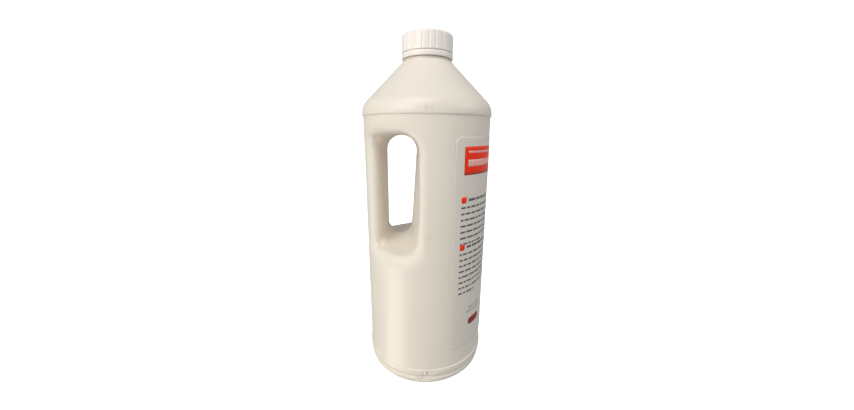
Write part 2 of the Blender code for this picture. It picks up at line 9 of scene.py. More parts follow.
import bmesh
import bpy
import numpy as np
from mathutils import Matrix, Vector
from mathutils.geometry import delaunay_2d_cdt


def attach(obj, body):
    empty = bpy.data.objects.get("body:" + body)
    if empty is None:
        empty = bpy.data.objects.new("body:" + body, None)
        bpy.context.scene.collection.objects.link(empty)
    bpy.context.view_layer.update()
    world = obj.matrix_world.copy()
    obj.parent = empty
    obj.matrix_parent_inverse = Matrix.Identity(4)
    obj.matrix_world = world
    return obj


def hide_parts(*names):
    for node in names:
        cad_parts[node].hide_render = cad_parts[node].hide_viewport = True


MM = 0.001
FRONT = -math.pi / 2  # angle of the side that the photograph shows

# Bottle, as the frame has it
PANEL_RADIUS = 44.4 * MM
BUMPER_RADIUS = 45.1 * MM
PANEL_TOP = 187.25 * MM
PANEL_BOTTOM = 13.65 * MM
CONE_TOP = 221.65 * MM
CONE_TOP_RADIUS = 17.75 * MM
CONE_SLOPE = math.radians(45.6)
SHOULDER_ROUND = 12.75 * MM
GROOVE_HEIGHT = 7.6 * MM
GROOVE_DEPTH = 1.2 * MM
FOOT_RADIUS = 42.5 * MM
FOOT_WIDTH = 4.6 * MM
HEEL_ROUND = 1.65 * MM
PUSH_UP = 5.15 * MM
NECK_RADIUS = 13.95 * MM
COLLAR_RADIUS = 15.9 * MM
COLLAR_TOP = 224.0 * MM
NECK_TOP = 236.3 * MM
BEAD_RADIUS = 15.1 * MM
BEAD_FOOT = 225.5 * MM
BEAD_TOP = 226.75 * MM
SKIN = 1.1 * MM
THREAD_PITCH = 4.0 * MM
THREAD_TURNS = 1.5
THREAD_RISE = 1.0 * MM
THREAD_START = 229.0 * MM  # height of the thread's middle at +X
THREAD_HALF_FOOT = 0.8 * MM
THREAD_FLANK = 0.4 * MM
THREAD_FADE = 30.0 / 360.0  # share of a turn that each end takes to run out
CAP_THREAD_START = 227.5 * MM  # on the same helix, with the cap's thread from the first turn below
CAP_THREAD_FIRST = 0.35
CAP_THREAD_RISE = 1.15 * MM
CAP_THREAD_LENGTH = 8.2 * MM

# Handle recess, as corner circles (x, z, radius) at the parting plane and at the body's surface
RECESS_AT_MIDDLE = np.array(
    [(-18.0, 164.2, 11.0), (-29.6, 163.6, 11.0), (-31.8, 109.1, 8.8), (-19.8, 109.1, 8.8)]
) * MM
RECESS_AT_SURFACE = np.array(
    [(-16.85, 163.75, 12.75), (-27.6, 162.6, 13.0), (-27.2, 108.8, 11.6), (-17.45, 109.15, 12.1)]
) * MM
RIM_ROUND_SIDE = 5.0 * MM
RIM_ROUND_ROOF = 6.55 * MM
RIM_ROUND_FLOOR = 8.75 * MM
RIM_SHIFT = 0.3  # the rim's round stops short of the wall by this share, which leaves a soft crease
RIM_CREASE = 0.7 * MM
RIM_LEAST = 0.3 * MM
EDGE_LEAST = 0.05 * MM
RIM_BLEND_HEIGHT = 22.0 * MM  # from the handle's middle to where the rim's side turns into its ends
RIM_BLEND_WIDTH = 6.0 * MM  # the rim fades out over this width beside the grip
GRIP_FACE = -29.4 * MM
GRIP_NOSE = 5.5 * MM
GRIP_BOW = 90.0 * MM  # radius of the finger side's bulge at the parting plane
GRIP_ROUND = 11.3 * MM
GRIP_AZIMUTH = math.radians(72.0)
GRIP_STAND_OUT = 0.05 * MM
ROOT_HOLE_FLOOR = 8.3 * MM
ROOT_HOLE_ROOF = 10.7 * MM
ROOT_FACE_FLOOR = 4.6 * MM
ROOT_FACE_ROOF = 8.0 * MM
ROOT_AT_EDGE = 0.2  # share of a root's rounding that is left where the recess runs out
ROOT_FADE_DEPTH = 9.0 * MM
HANDLE_MIDDLE = 137.0 * MM
MIDDLE_BLEND_HEIGHT = 20.0 * MM  # over which the floor's roundings turn into the roof's
HOLE_BLEND_WIDTH = 3.0 * MM
HOLE_SPINE = ((-20.8, 109.5), (-18.4, 163.5))  # foot and top (x, z) of a line inside the hole, in millimetres
HOLE_REACH = 16.0 * MM  # more than the way from that line to the hole's edge

# Ridges that the mould leaves, as sections (to the side, out)
FLASH_SECTION = MM * np.array(
    [(-0.45, -0.35), (-0.28, 0.05), (-0.08, 0.28), (0.08, 0.28), (0.28, 0.05), (0.45, -0.35)]
)
SEAM_SECTION = MM * np.array(
    [(-0.3, -0.2), (-0.22, 0.01), (-0.08, 0.09), (0.08, 0.09), (0.22, 0.01), (0.3, -0.2)]
)
SEAM_REACH = BUMPER_RADIUS - 0.09 * MM
BAR_SIZE = (2.8 * MM, 0.9 * MM, 0.6 * MM)  # width, height and rise
BAR_ANGLE = FRONT + 0.043
BAR_HEIGHTS = (112.5 * MM, 114.4 * MM)
PIP_SIZE = (1.5 * MM, 2.4 * MM, 0.2 * MM)
PIP_ANGLES = (FRONT + math.radians(-1.0), FRONT + math.radians(3.2))
PIP_HEIGHT = 190.4 * MM
PIP_RADIUS = BUMPER_RADIUS - 0.15 * MM
MARK_SINK = 0.4 * MM

# Window of the body that the handle's surface fills, and the grid that it is found on
WINDOW_FOOT = 84.0 * MM
WINDOW_TOP = 184.0 * MM
WINDOW_ANGLE = math.radians(84.0)
WINDOW_MARGIN = 1.3 * MM
CELL = 1.25 * MM

# Notch in the base
NOTCH_FOOT = 3.6 * MM
NOTCH_TOP = 12.7 * MM
NOTCH_BEND = 9.6 * MM
NOTCH_LEFT_FOOT = -5.2 * MM
NOTCH_LEFT_BEND = 0.2 * MM
NOTCH_LEFT_TOP = 0.9 * MM
NOTCH_RIGHT = 6.6 * MM
NOTCH_DEPTH = 1.1 * MM
NOTCH_WALL = 1.2 * MM  # width that its left wall takes
NOTCH_LEDGE = 0.5 * MM
NOTCH_ROOF = 0.6 * MM
NOTCH_DIP = 0.55 * MM  # hollow left of its edge, which leaves the edge standing as a ridge

# Cap and band
CAP_RADIUS = 17.25 * MM
CAP_BORE = 15.4 * MM
CAP_FOOT = 227.8 * MM
CAP_TOP = 239.4 * MM
CAP_TOP_THICKNESS = 1.5 * MM
CAP_EDGE_ROUND = 1.8 * MM
RIB_COUNT = 24
RIB_TURN = math.radians(4.0)
RIB_DEPTH = 0.42 * MM
RIB_HALF_WIDTH = 0.62 * MM
BAND_FOOT = 224.3 * MM
BAND_TOP = 227.5 * MM
BAND_RADIUS = 17.37 * MM
BAND_WALL = 1.3 * MM
BAND_LIP = 14.7 * MM

# Label
LABEL_FOOT = 26.3 * MM
LABEL_TOP = 174.5 * MM
LABEL_HALF_ANGLE = math.radians(67.0)
LABEL_CORNER = 4.6 * MM
LABEL_LIFT = 0.1 * MM
LABEL_THICKNESS = 0.12 * MM
INK_LIFT = LABEL_THICKNESS + 0.03 * MM
INK_THICKNESS = 0.025 * MM
PRINT_LEFT = -46.6  # the print is laid out in millimetres, round from the label's middle and up
PRINT_RIGHT = -13.0
PRINT_STEP = 4.1
PRINT_BLOCKS = ((135.4, 7, -24.0), (103.4, 8, -31.0))  # heading's height, lines, end of the last line
CREASES = (  # two ends (round, up), rise and width, in millimetres
    (-30.5, 156.0, -13.0, 110.0, 0.3, 1.5),
    (-26.5, 151.0, -16.0, 126.0, 0.16, 0.9),
    (-20.5, 160.0, -9.0, 92.0, 0.2, 1.2),
    (-9.0, 172.0, -12.0, 110.0, 0.12, 1.3),
    (-39.2, 84.0, -37.0, 30.0, 0.05, 0.9),
    (-31.0, 70.0, -27.0, 30.0, 0.05, 1.2),
    (14.0, 150.0, 9.0, 70.0, 0.1, 1.2),
    (31.0, 120.0, 27.0, 60.0, 0.08, 1.2),
)

# Camera, solved from the bottle's outline in the photograph
LENS = 12.336
CAMERA_PLACE = (0.0135 * PANEL_RADIUS, -4.898 * PANEL_RADIUS, 3.982 * PANEL_RADIUS)
CAMERA_PITCH = 0.2430
CAMERA_ROLL = -0.0082

# Lights: name, angle right of the front, angle up, power, colour
MIDDLE_HEIGHT = 0.12
LIGHT_SIZE = 0.55
LIGHTS = (
    ("key", -40, 30, 3.9, (0.9, 0.96, 1.0)),
    ("top", -20, 60, 3.3, (1.0, 0.93, 0.84)),
    ("side", 80, 30, 1.6, (0.76, 0.89, 1.0)),
    ("low", -60, -35, 3.1, (1.0, 0.91, 0.78)),
    ("fill", 20, 5, 0.4, (1.0, 0.97, 0.94)),
)
WORLD_STRENGTH = 0.4


def new_object(name, vertices, faces, material=None, smooth=True):
    mesh = bpy.data.meshes.new(name)
    mesh.from_pydata([tuple(v) for v in vertices], [], [tuple(int(i) for i in f) for f in faces])
    mesh.update()
    if smooth:
        mesh.shade_smooth()
    obj = bpy.data.objects.new(name, mesh)
    bpy.context.scene.collection.objects.link(obj)
    if material:
        mesh.materials.append(material)
    return obj


def arc(centre, radius, start, end, steps):
    turn = [start + (end - start) * i / steps for i in range(steps + 1)]
    return [(centre[0] + radius * math.cos(a), centre[1] + radius * math.sin(a)) for a in turn]


def rounded(points, passes):
    """Cuts a polyline's corners, for a soft curve that keeps its two ends."""
    for _ in range(passes):
        cut = [points[0]]
        for a, b in zip(points, points[1:]):
            cut.append((0.75 * a[0] + 0.25 * b[0], 0.75 * a[1] + 0.25 * b[1]))
            cut.append((0.25 * a[0] + 0.75 * b[0], 0.25 * a[1] + 0.75 * b[1]))
        points = [*cut, points[-1]]
    return points


def spaced(a, b, count):
    """Points from a to b, without b."""
    return [(a[0] + (b[0] - a[0]) * i / count, a[1] + (b[1] - a[1]) * i / count) for i in range(count)]


def split_long(points, longest):
    """Adds points along a polyline's sides, so that none is longer than a length."""
    result = []
    for a, b in zip(points, points[1:]):
        result += spaced(a, b, max(1, math.ceil(math.dist(a, b) / longest)))
    return [*result, points[-1]]


# Bottle: the turned surface

def shoulder_profile():
    turn = math.pi / 2 - CONE_SLOPE
    corner = CONE_TOP - (BUMPER_RADIUS - CONE_TOP_RADIUS) * math.tan(CONE_SLOPE)
    low = corner - SHOULDER_ROUND * math.tan(turn / 2)
    round_part = arc((BUMPER_RADIUS - SHOULDER_ROUND, low), SHOULDER_ROUND, turn, 0.0, 14)
    cone = spaced((CONE_TOP_RADIUS, CONE_TOP), round_part[0], 10)
    return cone + round_part


def neck_profile():
    """The neck from its mouth down: lip, threaded side, bead and collar."""
    mouth = [(NECK_RADIUS - 1.0 * MM, NECK_TOP), (NECK_RADIUS - 0.5 * MM, NECK_TOP)]
    mouth += arc((NECK_RADIUS - 0.5 * MM, NECK_TOP - 0.5 * MM), 0.5 * MM, math.pi / 2, 0.0, 4)[1:]
    side_foot = (NECK_RADIUS, BEAD_TOP + 0.9 * MM)
    side = spaced((NECK_RADIUS, NECK_TOP - 0.8 * MM), side_foot, 30)
    bead = [
        side_foot,
        (BEAD_RADIUS - 0.1 * MM, BEAD_TOP + 0.05 * MM),
        (BEAD_RADIUS, BEAD_TOP - 0.15 * MM),
        (BEAD_RADIUS, BEAD_FOOT + 0.1 * MM),
        (BEAD_RADIUS - 0.1 * MM, BEAD_FOOT),
        (NECK_RADIUS, BEAD_FOOT - 0.1 * MM),
        (NECK_RADIUS, COLLAR_TOP + 0.1 * MM),
        (NECK_RADIUS + 0.1 * MM, COLLAR_TOP),
        (COLLAR_RADIUS - 0.2 * MM, COLLAR_TOP),
        (COLLAR_RADIUS, COLLAR_TOP - 0.2 * MM),
    ]
    collar = [
        (COLLAR_RADIUS, COLLAR_TOP - 0.4 * MM),
        (COLLAR_RADIUS, CONE_TOP + 0.9 * MM),
        (COLLAR_RADIUS + 0.5 * MM, CONE_TOP + 0.75 * MM),
        (CONE_TOP_RADIUS - 0.3 * MM, CONE_TOP + 0.3 * MM),
    ]
    return mouth + side + bead + rounded(collar, 2)[:-1]


def panel_profile():
    """The straight side, from the crease under the shoulder's bumper to the base."""
    crease = [
        (BUMPER_RADIUS, PANEL_TOP + 1.25 * MM),
        (BUMPER_RADIUS, PANEL_TOP + 0.55 * MM),
        (BUMPER_RADIUS - 0.2 * MM, PANEL_TOP + 0.1 * MM),
        (PANEL_RADIUS, PANEL_TOP),
        (PANEL_RADIUS, PANEL_TOP - 0.4 * MM),
    ]
    window_foot = (PANEL_RADIUS, WINDOW_FOOT)
    panel = [(PANEL_RADIUS, WINDOW_TOP + 1.4 * MM)]
    panel += spaced((PANEL_RADIUS, WINDOW_TOP), window_foot, 24)
    panel += spaced(window_foot, (PANEL_RADIUS, PANEL_BOTTOM + 1.6 * MM), 8)
    return rounded(crease, 2) + panel


def base_profile():
    """The base's bumper ring and groove, down to the heel."""
    base = [
        (PANEL_RADIUS, PANEL_BOTTOM + 1.4 * MM),
        (PANEL_RADIUS, PANEL_BOTTOM + 0.2 * MM),
        (PANEL_RADIUS + 0.1 * MM, PANEL_BOTTOM),
        (BUMPER_RADIUS - 0.1 * MM, PANEL_BOTTOM - 0.3 * MM),
        (BUMPER_RADIUS, PANEL_BOTTOM - 1.0 * MM),
        (BUMPER_RADIUS, GROOVE_HEIGHT + 2.6 * MM),
        (BUMPER_RADIUS - 0.15 * MM, GROOVE_HEIGHT + 1.4 * MM),
        (PANEL_RADIUS - GROOVE_DEPTH, GROOVE_HEIGHT + 0.5 * MM),
        (PANEL_RADIUS - GROOVE_DEPTH, GROOVE_HEIGHT - 0.4 * MM),
        (PANEL_RADIUS - 0.1 * MM, GROOVE_HEIGHT - 1.6 * MM),
        (PANEL_RADIUS + 0.05 * MM, GROOVE_HEIGHT - 2.6 * MM),
        (PANEL_RADIUS - 0.7 * MM, GROOVE_HEIGHT - 4.9 * MM),
    ]
    return split_long(rounded(base, 2), 0.55 * MM)


def underside_profile():
    """The heel, the flat ring that the bottle stands on and the push-up inside it."""
    heel = FOOT_RADIUS - HEEL_ROUND
    ring_inside = FOOT_RADIUS - FOOT_WIDTH
    under = [
        (heel - 0.8 * MM, 0.0),
        (ring_inside, 0.0),
        (ring_inside - 1.2 * MM, 1.2 * MM),
        (ring_inside - 2.6 * MM, 0.6 * PUSH_UP),
        (0.5 * FOOT_RADIUS, 0.9 * PUSH_UP),
        (0.1 * FOOT_RADIUS, PUSH_UP),
    ]
    return arc((heel, HEEL_ROUND), HEEL_ROUND, math.radians(-8.0), -math.pi / 2, 6) + rounded(under, 2)


def bottle_profile():
    """Outside of the bottle (r, z) from its mouth to the middle of its foot."""
    return neck_profile() + shoulder_profile() + panel_profile() + base_profile() + underside_profile()


def thread_rise(angle, z, start=THREAD_START, first=0.0, rise=THREAD_RISE):
    """Height of a screw thread at an angle and a height, run out at both of its ends."""
    share = np.zeros(np.broadcast(angle, z).shape)
    for lap in range(3):
        turns = (angle % math.tau) / math.tau + lap
        along = np.clip((turns - first) / THREAD_FADE, 0, 1)
        along = along * np.clip((THREAD_TURNS - turns) / THREAD_FADE, 0, 1)
        off_middle = np.abs(z - start - THREAD_PITCH * turns)
        across = np.clip((THREAD_HALF_FOOT - off_middle) / THREAD_FLANK, 0, 1)
        share = np.maximum(share, along * across)
    return rise * share


def notch_fall(angle, z):
    """Depth of the notch in the base, at an angle from the front and a height."""
    x = angle * PANEL_RADIUS
    low = NOTCH_LEFT_FOOT + (NOTCH_LEFT_BEND - NOTCH_LEFT_FOOT) * (z - NOTCH_FOOT) / (NOTCH_BEND - NOTCH_FOOT)
    high = NOTCH_LEFT_BEND + (NOTCH_LEFT_TOP - NOTCH_LEFT_BEND) * (z - NOTCH_BEND) / (NOTCH_TOP - NOTCH_BEND)
    left = np.minimum(low, high)
    wall = ease((x - left) / NOTCH_WALL)
    fade = np.clip((NOTCH_RIGHT - x) / (NOTCH_RIGHT - left), 0, 1) ** 0.8
    ledge = np.clip((z - NOTCH_FOOT) / NOTCH_LEDGE, 0, 1)
    top = np.clip((NOTCH_TOP - z) / NOTCH_ROOF, 0, 1)
    dip = NOTCH_DIP * np.exp(-(((x - left + NOTCH_WALL) / (0.8 * MM)) ** 2))
    return (NOTCH_DEPTH * wall * fade + dip) * ledge * top


def column_angles():
    """Angles of the turned surface's columns, closer together round the notch in front."""
    step = math.radians(3.0)
    fine_step = math.radians(0.5)
    angles = {round(-math.pi + step * i, 9) for i in range(120)}
    angles |= {round(FRONT + fine_step * i, 9) for i in range(-16, 18)}
    return sorted(angles)


def turned_surface(angles, profile):
    """Vertices of the turned surface, a row for each profile point."""
    rows = []
    theta = np.array(angles)
    from_front = theta + math.pi / 2
    for r, z in profile:
        radius = np.full(len(theta), r)
        if BEAD_TOP < z < NECK_TOP:
            radius = radius + thread_rise(theta, z)
        if NOTCH_FOOT < z < NOTCH_TOP and r > FOOT_RADIUS:
            near = np.abs(from_front) < 0.3
            radius = radius - np.where(near, notch_fall(from_front, z), 0.0)
        rows.append(np.stack([radius * np.cos(theta), radius * np.sin(theta), np.full(len(theta), z)], 1))
    return np.array(rows)


# Bottle: the handle's surface, as the zero of a distance field

def recess_field(x, y, z):
    """Signed distance to the recess's wall across its outline, which changes with the depth."""
    surface = np.sqrt(np.maximum(PANEL_RADIUS**2 - x**2, (0.2 * PANEL_RADIUS) ** 2))
    share = np.clip(np.abs(y) / (surface - 0.8 * RIM_ROUND_FLOOR), 0, 1)
    far = np.full(x.shape, -1.0)
    for a in np.linspace(0, math.tau, 96, endpoint=False):
        across, up = math.cos(a), math.sin(a)
        support = np.full(x.shape, -1.0)
        for middle, edge in zip(RECESS_AT_MIDDLE, RECESS_AT_SURFACE):
            circle = middle + (edge - middle) * share[..., None]
            support = np.maximum(support, across * circle[..., 0] + up * circle[..., 1] + circle[..., 2])
        far = np.maximum(far, across * x + up * z - support)
    return far


def round_both(a, b, radius):
    """Where both are inside, with the edge between them rounded."""
    u, v = np.maximum(radius + a, 0), np.maximum(radius + b, 0)
    return np.minimum(-radius, np.maximum(a, b)) + np.hypot(u, v)


def ease(share):
    share = np.clip(share, 0, 1)
    return share * share * (3 - 2 * share)


def grip_field(x, y):
    """Signed distance to the grip's section, which is the same at each height."""
    reach = PANEL_RADIUS - GRIP_ROUND + GRIP_STAND_OUT
    out_x, out_y = -math.sin(GRIP_AZIMUTH), -math.cos(GRIP_AZIMUTH)
    from_x, from_y = x - reach * out_x, -np.abs(y) - reach * out_y
    corner = np.hypot(from_x, from_y) - GRIP_ROUND
    beyond = -from_x * out_y + from_y * out_x
    outside = np.maximum(np.hypot(x, y) - PANEL_RADIUS - GRIP_STAND_OUT, -GRIP_ROUND)
    front = np.where(beyond < 0, outside, corner)
    front = np.where((beyond >= 0) & (from_y > 0), -GRIP_ROUND, front)
    return round_both(front, x - GRIP_FACE + y**2 / (2 * GRIP_BOW), GRIP_NOSE)


def body_field(x, y, z):
    """Signed distance, negative in the bottle, of the body with its handle."""
    body = np.hypot(x, y) - PANEL_RADIUS
    recess = recess_field(x, y, z)
    grip = grip_field(x, y)
    upper = ease((z - HANDLE_MIDDLE) / MIDDLE_BLEND_HEIGHT + 0.5)
    in_hole = ease((x - GRIP_FACE) / HOLE_BLEND_WIDTH + 1.0)
    root_face = ROOT_FACE_FLOOR + (ROOT_FACE_ROOF - ROOT_FACE_FLOOR) * upper
    root_hole = ROOT_HOLE_FLOOR + (ROOT_HOLE_ROOF - ROOT_HOLE_FLOOR) * upper
    root = root_face + (root_hole - root_face) * in_hole
    root = root * np.clip(ROOT_AT_EDGE - body / ROOT_FADE_DEPTH, ROOT_AT_EDGE, 1)
    gap = round_both(recess, -grip, root)
    side = ease((np.abs(z - HANDLE_MIDDLE) - RIM_BLEND_HEIGHT) / RIM_BLEND_HEIGHT)
    end = RIM_ROUND_FLOOR + (RIM_ROUND_ROOF - RIM_ROUND_FLOOR) * upper
    rim = RIM_ROUND_SIDE + (end - RIM_ROUND_SIDE) * side
    beside = ease((grip + recess) / RIM_BLEND_WIDTH + 0.55)
    rim = RIM_LEAST + (rim - RIM_LEAST) * beside
    rounded_off = round_both(body, -gap - RIM_SHIFT * rim, (1 + RIM_SHIFT) * rim)
    return round_both(rounded_off, -gap, RIM_CREASE * beside + EDGE_LEAST)


def settle(points, passes=4):
    """Moves points onto the field's zero along its slope."""
    step = 0.02 * MM
    for _ in range(passes):
        x, y, z = points.T
        value = body_field(x, y, z)
        slope = np.stack(
            [
                (body_field(x + step, y, z) - body_field(x - step, y, z)) / (2 * step),
                (body_field(x, y + step, z) - body_field(x, y - step, z)) / (2 * step),
                (body_field(x, y, z + step) - body_field(x, y, z - step)) / (2 * step),
            ],
            1,
        )
        size = np.maximum((slope**2).sum(1), 0.2)
        move = np.clip(value / size, -0.8 * MM, 0.8 * MM)
        points = points - slope * move[:, None]
    return points


def field_grid():
    """The field at the corners of a grid of cells round the handle, and the grid's low corner."""
    low = np.array([-PANEL_RADIUS - 2.0 * MM, -PANEL_RADIUS - 2.3 * MM, WINDOW_FOOT - CELL])
    high = np.array([7.0 * MM, PANEL_RADIUS + 2.3 * MM, WINDOW_TOP + CELL])
    count = np.ceil((high - low) / CELL).astype(int) + 1
    count[1] += 1 - count[1] % 2
    low[1] = -CELL * (count[1] - 1) / 2
    axes = [low[k] + CELL * np.arange(count[k]) for k in range(3)]
    x, y, z = np.meshgrid(*axes, indexing="ij")
    return body_field(x, y, z), low


def net_points(field, low):
    """One point in each cell where the field changes sign, and the points' numbers by cell."""
    inside = field < 0
    cells = np.array(field.shape) - 1
    total = np.zeros((*cells, 3))
    crossings = np.zeros(cells)
    corners = [(i, j, k) for i in (0, 1) for j in (0, 1) for k in (0, 1)]
    for a in corners:
        for axis in range(3):
            if a[axis]:
                continue
            b = tuple(1 if k == axis else a[k] for k in range(3))
            first = tuple(slice(a[k], a[k] + cells[k]) for k in range(3))
            second = tuple(slice(b[k], b[k] + cells[k]) for k in range(3))
            changes = inside[first] != inside[second]
            share = np.where(changes, field[first] / np.where(changes, field[first] - field[second], 1), 0)
            for k in range(3):
                total[..., k] += changes * (a[k] + (share if k == axis else 0))
            crossings += changes
    used = crossings > 0
    number = np.full(used.shape, -1)
    number[used] = np.arange(used.sum())
    points = low + CELL * (np.argwhere(used) + total[used] / crossings[used][:, None])
    return points, number


def net_faces(field, number):
    """A four-sided face across each side of the grid along which the field changes sign."""
    inside = field < 0
    faces = []
    for axis in range(3):
        u, v = [k for k in range(3) if k != axis]
        first = [slice(1, -1)] * 3
        first[axis] = slice(0, -1)
        second = list(first)
        second[axis] = slice(1, None)
        here, there = inside[tuple(first)], inside[tuple(second)]
        for spot in np.argwhere(here != there):
            around = []
            for du, dv in ((0, 0), (1, 0), (1, 1), (0, 1)):
                cell = spot.copy()
                cell[u] += du
                cell[v] += dv
                around.append(number[tuple(cell)])
            outward = here[tuple(spot)] == (axis != 1)
            faces.append(around if outward else around[::-1])
    return np.array(faces)


def surface_nets():
    """Vertices and four-sided faces where the field is zero."""
    field, low = field_grid()
    points, number = net_points(field, low)
    return settle(points), net_faces(field, number)


def handle_patch():
    """The handle's surface with the strip of the body round it, inside the window."""
    points, faces = surface_nets()
    keep = (
        (points[:, 0] < PANEL_RADIUS * math.cos(WINDOW_ANGLE) - WINDOW_MARGIN)
        & (points[:, 2] > WINDOW_FOOT + WINDOW_MARGIN)
        & (points[:, 2] < WINDOW_TOP - WINDOW_MARGIN)
    )
    faces = faces[keep[faces].all(1)]
    used = np.unique(faces)
    renumber = np.full(len(points), -1)
    renumber[used] = np.arange(len(used))
    return points[used], renumber[faces]


def border_loop(faces):
    """Vertices round the open border of a patch, in order."""
    sides = {}
    for face in faces:
        for a, b in zip(face, np.roll(face, -1)):
            sides[(int(a), int(b))] = True
    following = {a: b for a, b in sides if (b, a) not in sides}
    start = next(iter(following))
    loop = [start]
    while following[loop[-1]] != start:
        loop.append(following[loop[-1]])
    return loop


def unrolled(points):
    """Points near the body's surface, as distance round from the grip and height."""
    return np.stack([PANEL_RADIUS * np.arctan2(points[:, 1], -points[:, 0]), points[:, 2]], 1)


def is_within(spots, loop):
    """Which spots lie inside a closed loop, by counting the sides that a line from each crosses."""
    inside = np.zeros(len(spots), bool)
    for (ax, ay), (bx, by) in zip(loop, np.roll(loop, -1, 0)):
        spans = (ay > spots[:, 1]) != (by > spots[:, 1])
        if spans.any():
            cross = ax + (spots[:, 1] - ay) * (bx - ax) / np.where(by == ay, 1, by - ay)
            inside ^= spans & (spots[:, 0] < cross)
    return inside


def turned_faces(rows, columns, window):
    """Faces of the turned surface, which leaves its window open, and of the fan in its middle."""
    top, foot, right, left = window
    faces = []
    for i in range(rows - 1):
        for j in range(columns):
            k = (j + 1) % columns
            if top <= i < foot and not right <= j < left:
                continue
            faces.append((i * columns + j, (i + 1) * columns + j, (i + 1) * columns + k, i * columns + k))
    last, middle = (rows - 1) * columns, rows * columns
    faces += [(last + j, middle, last + (j + 1) % columns) for j in range(columns)]
    return faces


def window_loop(columns, window):
    """Vertices of the turned surface round its window, in order."""
    top, foot, right, left = window
    behind = list(range(left, columns)) + list(range(0, right + 1))
    loop = [top * columns + j for j in behind]
    loop += [i * columns + right for i in range(top + 1, foot)]
    loop += [foot * columns + j for j in reversed(behind)]
    loop += [i * columns + left for i in range(foot - 1, top, -1)]
    return loop


def joining_faces(vertices, outer, inner):
    """Triangles between two closed loops of vertices on the body's side."""
    loops = outer + inner
    flat = unrolled(vertices[loops])
    count = len(outer)
    sides = [(i, (i + 1) % count) for i in range(count)]
    sides += [(count + i, count + (i + 1) % len(inner)) for i in range(len(inner))]
    scaled = [Vector(p / MM) for p in flat]
    spots, _, pieces, origins, _, _ = delaunay_2d_cdt(scaled, sides, [], 0, 1e-6)
    spots = np.array([tuple(p) for p in spots]) * MM
    centres = np.array([spots[list(f)].mean(0) for f in pieces])
    wanted = is_within(centres, flat[:count]) & ~is_within(centres, flat[count:])
    faces = []
    for face, keep in zip(pieces, wanted):
        if not keep:
            continue
        corners = [loops[origins[i][0]] for i in face]
        a, b, c = vertices[corners[:3]]
        normal = np.cross(b - a, c - a)
        faces.append(tuple(corners if normal[0] * a[0] + normal[1] * a[1] > 0 else corners[::-1]))
    return faces


def bottle_mesh():
    """The turned surface, the handle's patch in its window and the faces that join them."""
    angles = column_angles()
    profile = bottle_profile()
    grid = turned_surface(angles, profile)
    rows, columns = grid.shape[:2]
    top, foot = (
        next(row for row, point in enumerate(profile) if abs(point[1] - height) < 1e-7)
        for height in (WINDOW_TOP, WINDOW_FOOT)
    )
    right, left = (
        min(range(columns), key=lambda column: abs(angles[column] - edge))
        for edge in (-WINDOW_ANGLE, WINDOW_ANGLE)
    )
    window = (top, foot, right, left)
    patch, patch_faces = handle_patch()
    vertices = np.vstack([grid.reshape(-1, 3), [(0.0, 0.0, profile[-1][1])], patch])
    start = rows * columns + 1
    faces = turned_faces(rows, columns, window) + [tuple(start + f) for f in patch_faces]
    inner = [start + i for i in border_loop(patch_faces)]
    return vertices, faces + joining_faces(vertices, window_loop(columns, window), inner)


def without_loose(vertices, faces):
    used = np.unique([i for f in faces for i in f])
    renumber = np.full(len(vertices), -1)
    renumber[used] = np.arange(len(used))
    return vertices[used], [tuple(renumber[list(f)]) for f in faces]


def make_bottle(material):
    vertices, faces = without_loose(*bottle_mesh())
    bottle = new_object("bottle_skin", vertices, faces, material)
    shell = bottle.modifiers.new("wall", "SOLIDIFY")
    shell.thickness = SKIN
    shell.offset = -1.0
    shell.use_even_offset = False
    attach(bottle, "bottle")
    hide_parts("bottle")


def half_turn(steps):
    """Angles over half a turn, without its end."""
    return [math.pi * i / steps for i in range(steps)]


def hole_outline():
    """Points (x, z) round the hole's edge at the parting plane, and directions from them into the plastic."""
    low, high = (Vector(end) * MM for end in HOLE_SPINE)
    along = (high - low).normalized()
    across = Vector((along.y, -along.x))
    starts = [(low.lerp(high, i / 40), across) for i in range(40)]
    starts += [(high, across * math.cos(a) + along * math.sin(a)) for a in half_turn(26)]
    starts += [(high.lerp(low, i / 40), -across) for i in range(40)]
    starts += [(low, -across * math.cos(a) - along * math.sin(a)) for a in half_turn(22)]
    place = np.array([tuple(p) for p, _ in starts])
    toward = np.array([tuple(d) for _, d in starts])
    near, far = np.zeros(len(place)), np.full(len(place), HOLE_REACH)
    for _ in range(24):
        reach = (near + far) / 2
        x, z = (place + toward * reach[:, None]).T
        in_hole = body_field(x, np.zeros(len(x)), z) >= 0
        near, far = np.where(in_hole, reach, near), np.where(in_hole, far, reach)
    place = place + toward * near[:, None]
    step = 0.1 * MM
    (x, z), flat = place.T, np.zeros(len(place))
    slope = [body_field(x - step, flat, z) - body_field(x + step, flat, z)]
    slope.append(body_field(x, flat, z - step) - body_field(x, flat, z + step))
    inward = np.stack(slope, 1)
    return place, inward / np.linalg.norm(inward, axis=1)[:, None]


def swept(name, path, outward, sideways, section, material, closed=False):
    """A thin ridge: a section (side, out) carried along a path, with its ends closed."""
    rows = [
        spot + np.outer(section[:, 1], out) + np.outer(section[:, 0], side)
        for spot, out, side in zip(path, outward, sideways)
    ]
    count = len(section)
    faces = lathe_faces(len(rows), count, closed)
    if not closed:
        last = (len(rows) - 1) * count
        faces += [tuple(range(count)), tuple(last + i for i in reversed(range(count)))]
    ridge = new_object(name, np.vstack(rows), faces, material)
    mesh_normals_out(ridge)
    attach(ridge, "bottle")


def mesh_normals_out(obj):
    made = bmesh.new()
    made.from_mesh(obj.data)
    bmesh.ops.recalc_face_normals(made, faces=made.faces)
    made.to_mesh(obj.data)
    made.free()


